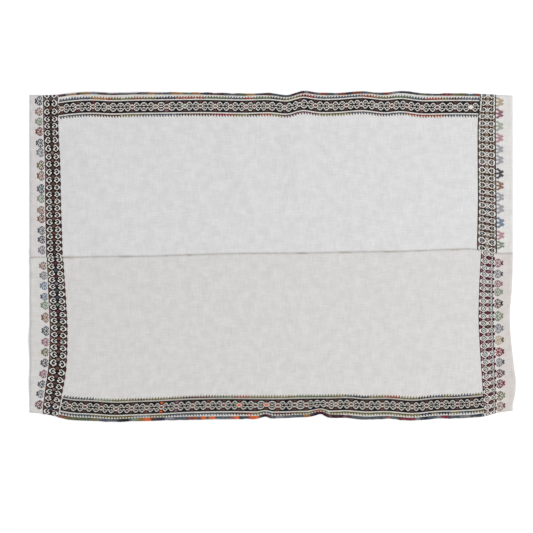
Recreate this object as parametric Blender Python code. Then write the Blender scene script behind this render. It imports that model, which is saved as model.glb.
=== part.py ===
"""A flat kilim of two hand-loomed hemp widths, sewn selvage to selvage down the middle.

Metres, +Z up. The warp and the long side run along X, and the seam runs near Y = 0. Each width is one
sheet of cloth whose brocaded bands stand a little proud of its plain ground. A wool overcasting wraps
each long selvage between the end bands. The cloth lies on Z = 0, with the low swells of a folded rug.
"""

import bpy
import bmesh
import numpy as np

# Cloth, in metres
HALF_LENGTH = 1.200
UPPER_WIDTH = 0.797
LOWER_WIDTH = 0.822
CLOTH = 0.0020
BROCADE_RISE = 0.0010
RISE_RUN = 0.0015
SEAM_GAP = 0.0003
HEM_DEPTH = 0.010
HEM_RISE = 0.0008

# Brocaded bands, measured in the flat cloth
SIDE_BAND_OUTER = 0.037
SIDE_BAND_HEIGHT = 0.061
BORDER_DEPTH = 0.125
FLOWER_LENGTH = 0.041
END_BAND_OUTER = 1.119
END_BAND_WIDTH = 0.080

# Overcast selvage: the wool's section round the cloth's edge
WOOL_PROUD = 0.0030
WOOL_LAP = 0.0095
WOOL_COAT = 0.0012
WOOL_CLEAR = 0.0003
EDGE_LIFT = WOOL_COAT + WOOL_CLEAR
LEVEL_EDGE = 0.012
LIFT_FADE = 0.060

# Spacing of the mesh lines
STEP_ALONG = 0.046
STEP_ACROSS = 0.056
SEAM_STEPS = (0.012, 0.030)

# Where the rug's long edges lie: x, y
TOP_EDGE = (
    (-1.200, 0.791), (-1.060, 0.794), (-1.000, 0.802), (-0.900, 0.808), (-0.790, 0.804),
    (-0.670, 0.807), (-0.550, 0.806), (-0.350, 0.803), (-0.150, 0.796), (0.000, 0.797),
    (0.085, 0.786), (0.160, 0.807), (0.240, 0.800), (0.350, 0.797), (0.460, 0.805),
    (0.570, 0.801), (0.640, 0.812), (0.760, 0.801), (0.940, 0.797), (1.060, 0.795),
    (1.200, 0.789),
)
BOTTOM_EDGE = (
    (-1.200, -0.792), (-1.100, -0.804), (-1.060, -0.813), (-1.000, -0.825), (-0.900, -0.831),
    (-0.780, -0.836), (-0.670, -0.830), (-0.430, -0.828), (-0.190, -0.827), (-0.070, -0.823),
    (0.050, -0.818), (0.160, -0.812), (0.250, -0.812), (0.360, -0.818), (0.460, -0.829),
    (0.580, -0.825), (0.700, -0.833), (0.820, -0.823), (0.940, -0.822), (1.060, -0.812),
    (1.120, -0.796), (1.215, -0.781),
)
# Where small tucks draw the lower edge in: x, run-in on the left, run-out on the right, depth
TUCKS = (
    (-0.028, 0.048, 0.040, 0.011),
    (0.248, 0.080, 0.048, 0.018),
)
TUCK_REACH = 0.100
TUCK_RIDGE = 0.0050
TUCK_RIDGE_WIDTH = 0.016
# Where the middle seam lies: x, y
SEAM = (
    (-1.200, -0.018), (-0.970, -0.017), (-0.820, -0.014), (-0.600, -0.012), (-0.450, -0.007),
    (-0.300, -0.002), (-0.080, 0.002), (0.145, 0.003), (0.370, 0.008), (0.640, 0.012),
    (0.890, 0.021), (1.000, 0.023), (1.050, 0.014), (1.100, 0.003), (1.200, 0.003),
)
# Where the right-hand end lies: y, x. The left-hand end is straight.
RIGHT_END = (
    (-0.800, 1.200), (-0.740, 1.213), (-0.680, 1.215), (-0.590, 1.205), (-0.490, 1.195),
    (-0.390, 1.187), (-0.300, 1.186), (-0.230, 1.193), (-0.120, 1.199), (0.000, 1.200),
    (0.800, 1.200),
)
# Where the end bands lie, by panel and end: y, x of the flower side, x of the field side
END_BANDS = {
    ("upper", "left"): (
        (0.020, -1.114, -1.032), (0.245, -1.118, -1.038), (0.490, -1.120, -1.044),
        (0.614, -1.127, -1.055), (0.790, -1.129, -1.062),
    ),
    ("upper", "right"): (
        (0.035, 1.121, 1.022), (0.245, 1.118, 1.025), (0.490, 1.118, 1.027),
        (0.675, 1.116, 1.029), (0.790, 1.118, 1.037),
    ),
    ("lower", "left"): (
        (-0.790, -1.133, -1.058), (-0.700, -1.120, -1.038), (-0.602, -1.106, -1.020),
        (-0.391, -1.096, -1.009), (-0.228, -1.102, -1.016), (-0.020, -1.110, -1.030),
    ),
    ("lower", "right"): (
        (-0.790, 1.120, 1.057), (-0.659, 1.118, 1.052), (-0.474, 1.108, 1.037),
        (-0.352, 1.107, 1.029), (-0.105, 1.106, 1.037), (-0.020, 1.109, 1.041),
    ),
}
# Low swells left from folding: start x, y, end x, y, half width, height
SWELLS = (
    (-0.960, 0.530, -0.700, 0.190, 0.075, 0.0050),
    (-1.000, 0.300, -0.820, 0.080, 0.070, 0.0035),
    (-0.560, 0.680, -0.440, 0.420, 0.060, 0.0035),
    (-0.200, 0.560, -0.120, 0.280, 0.070, 0.0035),
    (0.100, 0.640, 0.160, 0.330, 0.075, 0.0040),
    (0.420, 0.100, 0.720, 0.260, 0.060, 0.0040),
    (0.780, 0.110, 0.980, 0.260, 0.055, 0.0035),
    (0.560, -0.190, 1.060, -0.240, 0.060, 0.0050),
    (0.780, -0.520, 1.060, -0.650, 0.060, 0.0045),
    (-1.200, -0.430, -0.960, -0.470, 0.060, 0.0055),
    (-1.200, -0.640, -0.900, -0.600, 0.060, 0.0040),
    (-0.300, -0.420, 0.100, -0.360, 0.080, 0.0030),
    (0.080, 0.800, 0.240, 0.760, 0.060, 0.0030),
    (1.200, -0.300, 1.080, -0.330, 0.060, 0.0045),
)
SEAM_PUCKER = 0.0030
SEAM_PUCKER_AT = 0.022
SEAM_PUCKER_WIDTH = 0.016
TOUCH_DOWN = 0.0008

# Colours as the eye sees them, from 0 to 1
COLOURS = {"hemp cloth": (0.84, 0.82, 0.79), "overcasting wool": (0.24, 0.22, 0.24)}


def through(table, at, column=1):
    """A smooth curve through a table's rows, read at one or many places."""
    knots = np.array([row[0] for row in table])
    values = np.array([row[column] for row in table])
    slopes = np.gradient(values, knots)
    at = np.clip(at, knots[0], knots[-1])
    i = np.clip(np.searchsorted(knots, at) - 1, 0, len(knots) - 2)
    span = knots[i + 1] - knots[i]
    t = (at - knots[i]) / span
    start = (1 + 2 * t) * (1 - t) ** 2 * values[i] + t * (1 - t) ** 2 * span * slopes[i]
    return start + t * t * (3 - 2 * t) * values[i + 1] - t * t * (1 - t) * span * slopes[i + 1]


def laid_x(panel, u, v):
    """Where a point of the flat cloth lies along X, between the rug's ends and its end bands."""
    outer_left = through(END_BANDS[panel, "left"], v, 1)
    inner_left = through(END_BANDS[panel, "left"], v, 2)
    outer_right = through(END_BANDS[panel, "right"], v, 1)
    inner_right = through(END_BANDS[panel, "right"], v, 2)
    inner = END_BAND_OUTER - END_BAND_WIDTH
    tip = END_BAND_OUTER + FLOWER_LENGTH
    flat = (-HALF_LENGTH, -tip, -END_BAND_OUTER, -inner, inner, END_BAND_OUTER, tip, HALF_LENGTH)
    laid = (
        -HALF_LENGTH, outer_left - FLOWER_LENGTH, outer_left, inner_left,
        inner_right, outer_right, outer_right + FLOWER_LENGTH, through(RIGHT_END, v),
    )
    return np.interp(u, flat, laid)


def drawn_in(panel, x, from_edge):
    """How far the tucks pull a point of the lower border in, less and less away from the edge."""
    pull = 0.0
    for at, run_in, run_out, depth in TUCKS if panel == "lower" else ():
        away = (x - at) / (run_in if x < at else run_out)
        pull += depth * (1 + np.cos(np.pi * np.clip(away, -1, 1))) / 2
    return pull * max(0.0, 1 - from_edge / TUCK_REACH)


def laid_y(panel, x, v):
    """Where a point of the flat cloth lies along Y: its border keeps its depth along the selvage."""
    if panel == "upper":
        side, width, edge = 1, UPPER_WIDTH, through(TOP_EDGE, x)
    else:
        side, width, edge = -1, LOWER_WIDTH, through(BOTTOM_EDGE, x)
    selvage = edge - side * WOOL_PROUD
    from_edge = width - abs(v)
    if from_edge <= BORDER_DEPTH:
        return selvage - side * (from_edge + drawn_in(panel, x, from_edge))
    share = (from_edge - BORDER_DEPTH) / (width - BORDER_DEPTH)
    start = selvage - side * BORDER_DEPTH
    finish = through(SEAM, x) + side * SEAM_GAP / 2
    return start + share * (finish - start)


def swell(x, y):
    """How high the cloth's underside is lifted there by what is left of its folds."""
    height = -TOUCH_DOWN
    for x0, y0, x1, y1, half_width, rise in SWELLS:
        along = np.array((x1 - x0, y1 - y0))
        t = np.clip(np.dot((x - x0, y - y0), along) / along.dot(along), 0, 1)
        away = np.hypot(x - x0 - t * along[0], y - y0 - t * along[1])
        height += rise * np.exp(-((away / half_width) ** 2))
    for at, _, run_out, _ in TUCKS:
        from_edge = max(0.0, y - through(BOTTOM_EDGE, x))
        away = (x - at - run_out / 2) / TUCK_RIDGE_WIDTH
        height += TUCK_RIDGE * np.exp(-away ** 2) * max(0.0, 1 - from_edge / TUCK_REACH)
    from_seam = abs(abs(y - through(SEAM, x)) - SEAM_PUCKER_AT)
    height += SEAM_PUCKER * np.exp(-((from_seam / SEAM_PUCKER_WIDTH) ** 2))
    return max(height, 0.0)


def edge_lift(u, from_edge):
    """The wool lies under the selvage too, so the cloth's edge stands off the floor by its coat."""
    inner = END_BAND_OUTER - END_BAND_WIDTH
    past_end = np.clip((abs(u) - inner) / LIFT_FADE, 0, 1)
    inward = np.clip((from_edge - LEVEL_EDGE) / LIFT_FADE, 0, 1)
    return EDGE_LIFT * (1 - past_end) * (1 - inward)


def lay(panel, u, v):
    """Where the cloth's underside lies for a point of the flat cloth. Both widths share the seam's."""
    width = UPPER_WIDTH if panel == "upper" else LOWER_WIDTH
    from_edge = width - abs(v)
    x = laid_x(panel, u, v) if v else (laid_x("upper", u, 0) + laid_x("lower", u, 0)) / 2
    y = laid_y(panel, x, v)
    side = 1 if panel == "upper" else -1
    level_y = laid_y(panel, x, side * (width - max(from_edge, LEVEL_EDGE)))
    return np.array((x, y, max(swell(x, level_y), edge_lift(u, from_edge))))


def lines_along(panel):
    """Mesh lines along the warp: the hems, both sides of each end band, even steps and the tucks."""
    inner = END_BAND_OUTER - END_BAND_WIDTH
    end = [
        HALF_LENGTH, HALF_LENGTH - HEM_DEPTH, HALF_LENGTH - HEM_DEPTH - RISE_RUN,
        END_BAND_OUTER + FLOWER_LENGTH / 2, END_BAND_OUTER + RISE_RUN, END_BAND_OUTER,
        (END_BAND_OUTER + inner) / 2, inner, inner - RISE_RUN,
    ]
    first = inner - RISE_RUN
    steps = round(2 * first / STEP_ALONG)
    between = list(np.linspace(-first, first, steps + 1)[1:-1])
    for at, run_in, run_out, _ in TUCKS if panel == "lower" else ():
        tuck = [at - run_in / 2, at, at + run_out / 3, at + 2 * run_out / 3, at + run_out]
        between = [u for u in between if min(abs(u - line) for line in tuck) > STEP_ALONG / 3] + tuck
    return sorted([-u for u in end] + between + end)


def lines_across(width):
    """Mesh lines across a width, as distances in from its selvage."""
    band_inner = SIDE_BAND_OUTER + SIDE_BAND_HEIGHT
    border = [
        0.0, LEVEL_EDGE, SIDE_BAND_OUTER - RISE_RUN, SIDE_BAND_OUTER,
        (SIDE_BAND_OUTER + band_inner) / 2, band_inner, band_inner + RISE_RUN,
    ]
    seam_side = [width - step for step in reversed(SEAM_STEPS)] + [width]
    span = seam_side[0] - BORDER_DEPTH
    field = np.linspace(BORDER_DEPTH, seam_side[0], round(span / STEP_ACROSS) + 1)[:-1]
    return border + list(field) + seam_side


def rise(u, from_edge):
    """How far the top face stands above plain cloth: brocade on the bands, a turning at the hems."""
    inner = END_BAND_OUTER - END_BAND_WIDTH
    on_end_band = inner <= abs(u) <= END_BAND_OUTER
    band_inner = SIDE_BAND_OUTER + SIDE_BAND_HEIGHT
    on_side_band = abs(u) < END_BAND_OUTER and SIDE_BAND_OUTER <= from_edge <= band_inner
    if on_end_band or on_side_band:
        return BROCADE_RISE
    return HEM_RISE if abs(u) >= HALF_LENGTH - HEM_DEPTH else 0.0


def material(name, roughness):
    """A matt textile in one of the rug's colours."""
    made = bpy.data.materials.new(name)
    made.use_nodes = True
    shader = made.node_tree.nodes["Principled BSDF"]
    shader.inputs["Base Color"].default_value = (*COLOURS[name], 1.0)
    shader.inputs["Roughness"].default_value = roughness
    shader.inputs["Metallic"].default_value = 0.0
    return made


def add_object(name, mesh_builder, finish):
    """Makes a named object from a filled bmesh, with its faces pointing out."""
    bmesh.ops.recalc_face_normals(mesh_builder, faces=mesh_builder.faces)
    mesh = bpy.data.meshes.new(name)
    mesh_builder.to_mesh(mesh)
    mesh_builder.free()
    mesh.materials.append(finish)
    made = bpy.data.objects.new(name, mesh)
    bpy.context.scene.collection.objects.link(made)
    return made


def skin(builder, rows):
    """Faces between neighbouring rows of vertices."""
    for row, following in zip(rows, rows[1:]):
        for a, b, c, d in zip(row, row[1:], following[1:], following):
            builder.faces.new((a, b, c, d))


def panel_width(panel, finish):
    """One loom width: its underside on the swells, its top face a cloth's thickness above."""
    side, width = (1, UPPER_WIDTH) if panel == "upper" else (-1, LOWER_WIDTH)
    builder = bmesh.new()
    under, over = [], []
    for from_edge in lines_across(width):
        v = side * (width - from_edge)
        places = [(lay(panel, u, v), rise(u, from_edge)) for u in lines_along(panel)]
        under.append([builder.verts.new(place) for place, _ in places])
        over.append([builder.verts.new(place + (0, 0, CLOTH + up)) for place, up in places])
    skin(builder, under)
    skin(builder, over)
    skin(builder, [under[0], over[0]])
    skin(builder, [under[-1], over[-1]])
    skin(builder, [[row[0] for row in under], [row[0] for row in over]])
    skin(builder, [[row[-1] for row in under], [row[-1] for row in over]])
    return add_object(f"{panel}_panel", builder, finish)


def wool_section():
    """The overcasting's section, out from the selvage and up from the cloth's underside."""
    inside = WOOL_CLEAR
    outside = WOOL_CLEAR + WOOL_COAT
    top = CLOTH + outside
    waist = CLOTH / 2
    return (
        (-WOOL_LAP, -outside), (WOOL_PROUD / 3, -outside), (WOOL_PROUD, waist - CLOTH / 2),
        (WOOL_PROUD, waist + CLOTH / 2), (WOOL_PROUD / 3, top), (-WOOL_LAP, top - WOOL_COAT / 3),
        (-WOOL_LAP, CLOTH + inside), (inside, CLOTH + inside), (inside, -inside), (-WOOL_LAP, -inside),
    )


def overcast_edge(panel, finish):
    """The wool wrapped round one long selvage, between the two end bands."""
    side, width = (1, UPPER_WIDTH) if panel == "upper" else (-1, LOWER_WIDTH)
    inner = END_BAND_OUTER - END_BAND_WIDTH
    builder = bmesh.new()
    rings = []
    for u in lines_along(panel):
        if abs(u) < inner:
            x, y, z = lay(panel, u, side * width)
            ring = [builder.verts.new((x, y + side * out, z + up)) for out, up in wool_section()]
            rings.append(ring + ring[:1])
    skin(builder, rings)
    builder.faces.new(rings[0][:-1])
    builder.faces.new(rings[-1][:-1])
    return add_object(f"{panel}_edge_overcasting", builder, finish)


def centre_on_origin(objects):
    """Moves the meshes so that the origin is under the middle of the whole rug's box."""
    corners = np.array([vertex.co for made in objects for vertex in made.data.vertices])
    middle = (corners.min(axis=0) + corners.max(axis=0)) / 2
    for made in objects:
        for vertex in made.data.vertices:
            vertex.co.x -= middle[0]
            vertex.co.y -= middle[1]


def main():
    for old in list(bpy.data.objects):
        bpy.data.objects.remove(old)
    cloth = material("hemp cloth", 0.92)
    wool = material("overcasting wool", 0.85)
    centre_on_origin([
        panel_width("upper", cloth),
        panel_width("lower", cloth),
        overcast_edge("upper", wool),
        overcast_edge("lower", wool),
    ])


main()
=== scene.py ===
"""A flat hemp kilim of two loom widths: the cloth on its folds, and its brocade, flowers, dash rows,
overcast edges and middle seam, each made of single stitches of yarn."""

import math

import bpy
import numpy as np
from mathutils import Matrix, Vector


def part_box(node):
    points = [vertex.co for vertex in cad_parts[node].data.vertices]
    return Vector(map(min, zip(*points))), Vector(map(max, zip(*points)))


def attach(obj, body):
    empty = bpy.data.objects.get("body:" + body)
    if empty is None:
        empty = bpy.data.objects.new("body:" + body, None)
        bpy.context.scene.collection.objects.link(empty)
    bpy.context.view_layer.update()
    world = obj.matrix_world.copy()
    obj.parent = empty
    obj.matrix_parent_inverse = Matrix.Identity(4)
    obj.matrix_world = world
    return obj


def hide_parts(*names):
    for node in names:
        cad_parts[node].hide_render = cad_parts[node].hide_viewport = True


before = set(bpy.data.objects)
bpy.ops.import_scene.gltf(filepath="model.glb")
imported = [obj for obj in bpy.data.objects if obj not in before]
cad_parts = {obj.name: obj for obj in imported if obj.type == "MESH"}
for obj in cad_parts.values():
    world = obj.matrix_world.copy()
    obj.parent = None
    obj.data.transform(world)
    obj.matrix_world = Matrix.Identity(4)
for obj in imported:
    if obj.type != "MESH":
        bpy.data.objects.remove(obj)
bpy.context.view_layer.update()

# The cloth's sizes in metres, as the solids have them
HALF_LENGTH = 1.200
WIDTHS = {"upper": 0.797, "lower": 0.822}
SIDES = {"upper": 1, "lower": -1}
CLOTH = 0.0020
SEAM_GAP = 0.0003
HEM_DEPTH = 0.010
HEM_RISE = 0.0008
BORDER_DEPTH = 0.125
END_BAND_OUTER = 1.119
END_BAND_WIDTH = 0.080
END_BAND_INNER = END_BAND_OUTER - END_BAND_WIDTH
FLOWER_LENGTH = 0.041
FLOWER_TIP = END_BAND_OUTER + FLOWER_LENGTH
# How far the wool stands out past the selvage, how high it lifts the cloth, the strip along the selvage
# that lies level on it, and the length over which the lift fades
WOOL_PROUD = 0.0030
EDGE_LIFT = 0.0015
LEVEL_EDGE = 0.012
LIFT_FADE = 0.060

# Where the rug's long edges lie: x, y
TOP_EDGE = (
    (-1.200, 0.791), (-1.060, 0.794), (-1.000, 0.802), (-0.900, 0.808), (-0.790, 0.804),
    (-0.670, 0.807), (-0.550, 0.806), (-0.350, 0.803), (-0.150, 0.796), (0.000, 0.797),
    (0.085, 0.786), (0.160, 0.807), (0.240, 0.800), (0.350, 0.797), (0.460, 0.805),
    (0.570, 0.801), (0.640, 0.812), (0.760, 0.801), (0.940, 0.797), (1.060, 0.795),
    (1.200, 0.789),
)
BOTTOM_EDGE = (
    (-1.200, -0.792), (-1.100, -0.804), (-1.060, -0.813), (-1.000, -0.825), (-0.900, -0.831),
    (-0.780, -0.836), (-0.670, -0.830), (-0.430, -0.828), (-0.190, -0.827), (-0.070, -0.823),
    (0.050, -0.818), (0.160, -0.812), (0.250, -0.812), (0.360, -0.818), (0.460, -0.829),
    (0.580, -0.825), (0.700, -0.833), (0.820, -0.823), (0.940, -0.822), (1.060, -0.812),
    (1.120, -0.796), (1.215, -0.781),
)
# Where the middle seam lies: x, y
SEAM = (
    (-1.200, -0.018), (-0.970, -0.017), (-0.820, -0.014), (-0.600, -0.012), (-0.450, -0.007),
    (-0.300, -0.002), (-0.080, 0.002), (0.145, 0.003), (0.370, 0.008), (0.640, 0.012),
    (0.890, 0.021), (1.000, 0.023), (1.050, 0.014), (1.100, 0.003), (1.200, 0.003),
)
# Where the right-hand end lies: y, x. The left-hand end is straight.
RIGHT_END = (
    (-0.800, 1.200), (-0.740, 1.213), (-0.680, 1.215), (-0.590, 1.205), (-0.490, 1.195),
    (-0.390, 1.187), (-0.300, 1.186), (-0.230, 1.193), (-0.120, 1.199), (0.000, 1.200),
    (0.800, 1.200),
)
# Where the end bands lie, by panel and end: y, x of the flower side, x of the field side
END_BANDS = {
    ("upper", "left"): (
        (0.020, -1.118, -1.036), (0.245, -1.123, -1.043), (0.490, -1.125, -1.049),
        (0.614, -1.131, -1.056), (0.790, -1.134, -1.060),
    ),
    ("upper", "right"): (
        (0.035, 1.122, 1.023), (0.245, 1.120, 1.027), (0.490, 1.117, 1.026),
        (0.675, 1.116, 1.028), (0.790, 1.118, 1.037),
    ),
    ("lower", "left"): (
        (-0.790, -1.135, -1.055), (-0.700, -1.124, -1.038), (-0.602, -1.110, -1.021),
        (-0.391, -1.100, -1.011), (-0.228, -1.106, -1.018), (-0.020, -1.114, -1.032),
    ),
    ("lower", "right"): (
        (-0.790, 1.123, 1.057), (-0.659, 1.121, 1.049), (-0.474, 1.116, 1.037),
        (-0.352, 1.112, 1.031), (-0.105, 1.111, 1.038), (-0.020, 1.113, 1.043),
    ),
}
# How much deeper than its count the border lies, for it was beaten up unevenly: x, depth
BORDER_WANDER = {
    "upper": (
        (-1.200, 0.0055), (-0.850, 0.0060), (-0.600, 0.0050), (-0.450, 0.0010), (-0.200, -0.0050),
        (0.000, -0.0065), (0.100, -0.0120), (0.200, -0.0050), (0.400, -0.0110), (0.550, -0.0040),
        (0.700, 0.0050), (0.850, -0.0010), (1.200, -0.0020),
    ),
    "lower": (
        (-1.200, -0.0050), (-0.900, -0.0035), (-0.600, -0.0080), (-0.400, 0.0015), (-0.200, 0.0040),
        (-0.100, 0.0000), (0.000, -0.0045), (0.300, -0.0065), (0.400, 0.0030), (0.600, 0.0020),
        (0.800, 0.0010), (1.000, 0.0050), (1.200, 0.0050),
    ),
}
WANDER_FROM = 0.025
# Where small tucks draw the lower edge in: x, run-in on the left, run-out on the right, depth
TUCKS = (
    (-0.028, 0.048, 0.040, 0.011),
    (0.248, 0.080, 0.048, 0.018),
)
TUCK_REACH = 0.100
TUCK_RIDGE = 0.0050
TUCK_RIDGE_WIDTH = 0.016
# Low swells left from folding: start x, y, end x, y, half width, height
SWELLS = (
    (-0.960, 0.530, -0.700, 0.190, 0.075, 0.0050),
    (-1.000, 0.300, -0.820, 0.080, 0.070, 0.0035),
    (-0.560, 0.680, -0.440, 0.420, 0.060, 0.0035),
    (-0.200, 0.560, -0.120, 0.280, 0.070, 0.0035),
    (0.100, 0.640, 0.160, 0.330, 0.075, 0.0040),
    (0.420, 0.100, 0.720, 0.260, 0.060, 0.0040),
    (0.780, 0.110, 0.980, 0.260, 0.055, 0.0035),
    (0.560, -0.190, 1.060, -0.240, 0.060, 0.0050),
    (0.780, -0.520, 1.060, -0.650, 0.060, 0.0045),
    (-1.200, -0.430, -0.960, -0.470, 0.060, 0.0055),
    (-1.200, -0.640, -0.900, -0.600, 0.060, 0.0040),
    (-0.300, -0.420, 0.100, -0.360, 0.080, 0.0030),
    (0.080, 0.800, 0.240, 0.760, 0.060, 0.0030),
    (1.200, -0.300, 1.080, -0.330, 0.060, 0.0045),
)
SEAM_PUCKER = 0.0030
SEAM_PUCKER_AT = 0.022
SEAM_PUCKER_WIDTH = 0.016
TOUCH_DOWN = 0.0008
# Fine creases that only the cloth's faces show: start x, y, end x, y, half width, height
CREASES = (
    (-0.980, 0.610, -0.740, 0.180, 0.016, 0.0010),
    (-0.900, 0.560, -0.640, 0.240, 0.014, 0.0008),
    (-0.530, 0.630, -0.470, 0.540, 0.014, -0.0010),
    (-0.090, 0.670, 0.070, 0.350, 0.016, -0.0009),
    (0.540, 0.180, 0.650, 0.050, 0.012, 0.0010),
    (0.580, -0.150, 1.030, -0.250, 0.014, 0.0011),
    (0.620, -0.200, 1.040, -0.310, 0.012, -0.0009),
    (0.900, -0.530, 1.030, -0.640, 0.014, 0.0010),
    (-1.190, -0.480, -0.900, -0.560, 0.016, -0.0010),
)

# Yarn colours, as dyed. Each dye is worked in several shades.
YARNS = {
    "cream": "#DCD8D0", "black": "#18151A", "charcoal": "#2B2A30", "navy": "#242A3A",
    "brown": "#4A2E26", "rust": "#84402C", "ochre": "#96661F", "orange": "#D55F22",
    "maroon": "#43101F", "crimson": "#7C1D2F", "plum": "#5C3648", "slate": "#484F58",
    "grey_blue": "#6E7C8C", "grey": "#77777D", "sage": "#7A8672", "green": "#4C5B3F",
    "olive": "#645F3A", "hemp": "#B5AFA4", "umber": "#553A33", "russet": "#6F4336",
    "clay": "#876C5B", "wine": "#632C39", "mauve": "#8A626B", "smoke": "#4B4A50",
    "ecru": "#CFCBC2", "sand": "#AB9A84", "dusty_rose": "#A98689", "pale_sage": "#9BA393",
    "ash": "#97989D", "peat": "#2F2823",
}
YARN_NUMBERS = {name: number for number, name in enumerate(YARNS)}
SHADES = 8
SHADE_RANGE = 0.16

random = np.random.default_rng(7)


def linear(code):
    """The linear colour of an sRGB hex code."""
    parts = [int(code[i:i + 2], 16) / 255 for i in (1, 3, 5)]
    return tuple(p / 12.92 if p <= 0.04045 else ((p + 0.055) / 1.055) ** 2.4 for p in parts) + (1.0,)


def places_and_yarns(text):
    """A table's rows, parted by commas: a place in metres, then the yarns that are used there."""
    return [[float(place), *yarns] for place, *yarns in (row.split() for row in text.split(","))]


# How the cloth lies

def through(table, at, column=1):
    """A smooth curve through a table's rows, read at many places."""
    knots = np.array([row[0] for row in table])
    values = np.array([row[column] for row in table])
    slopes = np.gradient(values, knots)
    at = np.clip(at, knots[0], knots[-1])
    i = np.clip(np.searchsorted(knots, at) - 1, 0, len(knots) - 2)
    span = knots[i + 1] - knots[i]
    t = (at - knots[i]) / span
    start = (1 + 2 * t) * (1 - t) ** 2 * values[i] + t * (1 - t) ** 2 * span * slopes[i]
    return start + t * t * (3 - 2 * t) * values[i + 1] - t * t * (1 - t) * span * slopes[i + 1]


def laid_x(panel, u, v):
    """Where points of the flat cloth lie along X, between the rug's ends and its end bands."""
    outer = {end: through(END_BANDS[panel, end], v, 1) for end in ("left", "right")}
    inner = {end: through(END_BANDS[panel, end], v, 2) for end in ("left", "right")}
    flat = np.array((
        -HALF_LENGTH, -FLOWER_TIP, -END_BAND_OUTER, -END_BAND_INNER,
        END_BAND_INNER, END_BAND_OUTER, FLOWER_TIP, HALF_LENGTH,
    ))
    laid = np.array((
        np.full_like(u, -HALF_LENGTH), outer["left"] - FLOWER_LENGTH, outer["left"], inner["left"],
        inner["right"], outer["right"], outer["right"] + FLOWER_LENGTH, through(RIGHT_END, v),
    ))
    i = np.clip(np.searchsorted(flat, u) - 1, 0, len(flat) - 2)
    t = (u - flat[i]) / (flat[i + 1] - flat[i])
    point = np.arange(len(u))
    return laid[i, point] * (1 - t) + laid[i + 1, point] * t


def drawn_in(panel, x, from_edge):
    """How far the tucks pull points of the lower border in, less and less away from the edge."""
    pull = np.zeros_like(x)
    for at, run_in, run_out, depth in TUCKS if panel == "lower" else ():
        away = (x - at) / np.where(x < at, run_in, run_out)
        pull += depth * (1 + np.cos(np.pi * np.clip(away, -1, 1))) / 2
    return pull * np.clip(1 - from_edge / TUCK_REACH, 0, None)


def laid_y(panel, x, from_edge):
    """Where points of the flat cloth lie along Y: the border keeps its depth along the selvage."""
    side, width = SIDES[panel], WIDTHS[panel]
    edge = through(TOP_EDGE if panel == "upper" else BOTTOM_EDGE, x)
    selvage = edge - side * WOOL_PROUD
    wander = through(BORDER_WANDER[panel], x)
    in_border = selvage - side * (from_edge + drawn_in(panel, x, from_edge)
                                  + wander * np.clip(from_edge / WANDER_FROM, 0, 1))
    share = (from_edge - BORDER_DEPTH) / (width - BORDER_DEPTH)
    start = selvage - side * (BORDER_DEPTH + wander)
    finish = through(SEAM, x) + side * SEAM_GAP / 2
    return np.where(from_edge <= BORDER_DEPTH, in_border, start + share * (finish - start))


def ridge(x, y, x0, y0, x1, y1, half_width, height):
    """The height of one soft ridge between two points."""
    along = np.array((x1 - x0, y1 - y0))
    t = np.clip(((x - x0) * along[0] + (y - y0) * along[1]) / along.dot(along), 0, 1)
    away = np.hypot(x - x0 - t * along[0], y - y0 - t * along[1])
    return height * np.exp(-((away / half_width) ** 2))


def swell(x, y):
    """How high the cloth's underside is lifted by what is left of its folds."""
    height = np.full_like(x, -TOUCH_DOWN)
    for row in SWELLS:
        height += ridge(x, y, *row)
    for at, _, run_out, _ in TUCKS:
        from_edge = np.clip(y - through(BOTTOM_EDGE, x), 0, None)
        away = (x - at - run_out / 2) / TUCK_RIDGE_WIDTH
        height += TUCK_RIDGE * np.exp(-away ** 2) * np.clip(1 - from_edge / TUCK_REACH, 0, None)
    from_pucker = abs(abs(y - through(SEAM, x)) - SEAM_PUCKER_AT)
    height += SEAM_PUCKER * np.exp(-((from_pucker / SEAM_PUCKER_WIDTH) ** 2))
    return np.clip(height, 0, None)


def lay(panel, u, v):
    """Where the cloth's underside lies for points of the flat cloth, in the tables' own frame."""
    from_edge = WIDTHS[panel] - abs(v)
    x = laid_x(panel, u, v)
    y = laid_y(panel, x, from_edge)
    level_y = laid_y(panel, x, np.maximum(from_edge, LEVEL_EDGE))
    past_end = np.clip((abs(u) - END_BAND_INNER) / LIFT_FADE, 0, 1)
    inward = np.clip((from_edge - LEVEL_EDGE) / LIFT_FADE, 0, 1)
    lift = EDGE_LIFT * (1 - past_end) * (1 - inward)
    return np.stack((x, y, np.maximum(swell(x, level_y), lift)), axis=1)


def surface(panel, u, v):
    """The plain cloth's top face: a cloth's thickness above the underside, with its fine creases."""
    places = lay(panel, u, v)
    for row in CREASES:
        places[:, 2] += ridge(places[:, 0], places[:, 1], *row)
    places[:, 2] = np.maximum(places[:, 2], 0) + CLOTH
    return places


# The solids are centred on their box, so the tables' own frame is moved to theirs where a mesh is made.
LOWEST_CORNER = lay("upper", np.array([-HALF_LENGTH]), np.array([0.0]))[0]
SHIFT = (np.array(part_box("upper_panel")[0]) - LOWEST_CORNER) * (1, 1, 0)


# Materials

def feed(node, inputs):
    """Sets a node's inputs. Each is a value, or another node, or one of its outputs, which gets linked."""
    for socket, value in inputs.items():
        if isinstance(value, bpy.types.Node):
            value = value.outputs[0]
        if isinstance(value, bpy.types.NodeSocket):
            node.id_data.links.new(value, node.inputs[socket])
        else:
            node.inputs[socket].default_value = value


def add(tree, kind, inputs=None, **settings):
    """Adds a node with its settings, and feeds it."""
    made = tree.nodes.new(kind)
    for name, value in settings.items():
        setattr(made, name, value)
    feed(made, inputs or {})
    return made


def new_material(name):
    """An empty node material with its Principled shader."""
    made = bpy.data.materials.new(name)
    made.use_nodes = True
    return made, made.node_tree, made.node_tree.nodes["Principled BSDF"]


# The settings of a colour mix in which one colour tints the other
TINTING = {"data_type": "RGBA", "blend_type": "MULTIPLY"}

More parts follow.
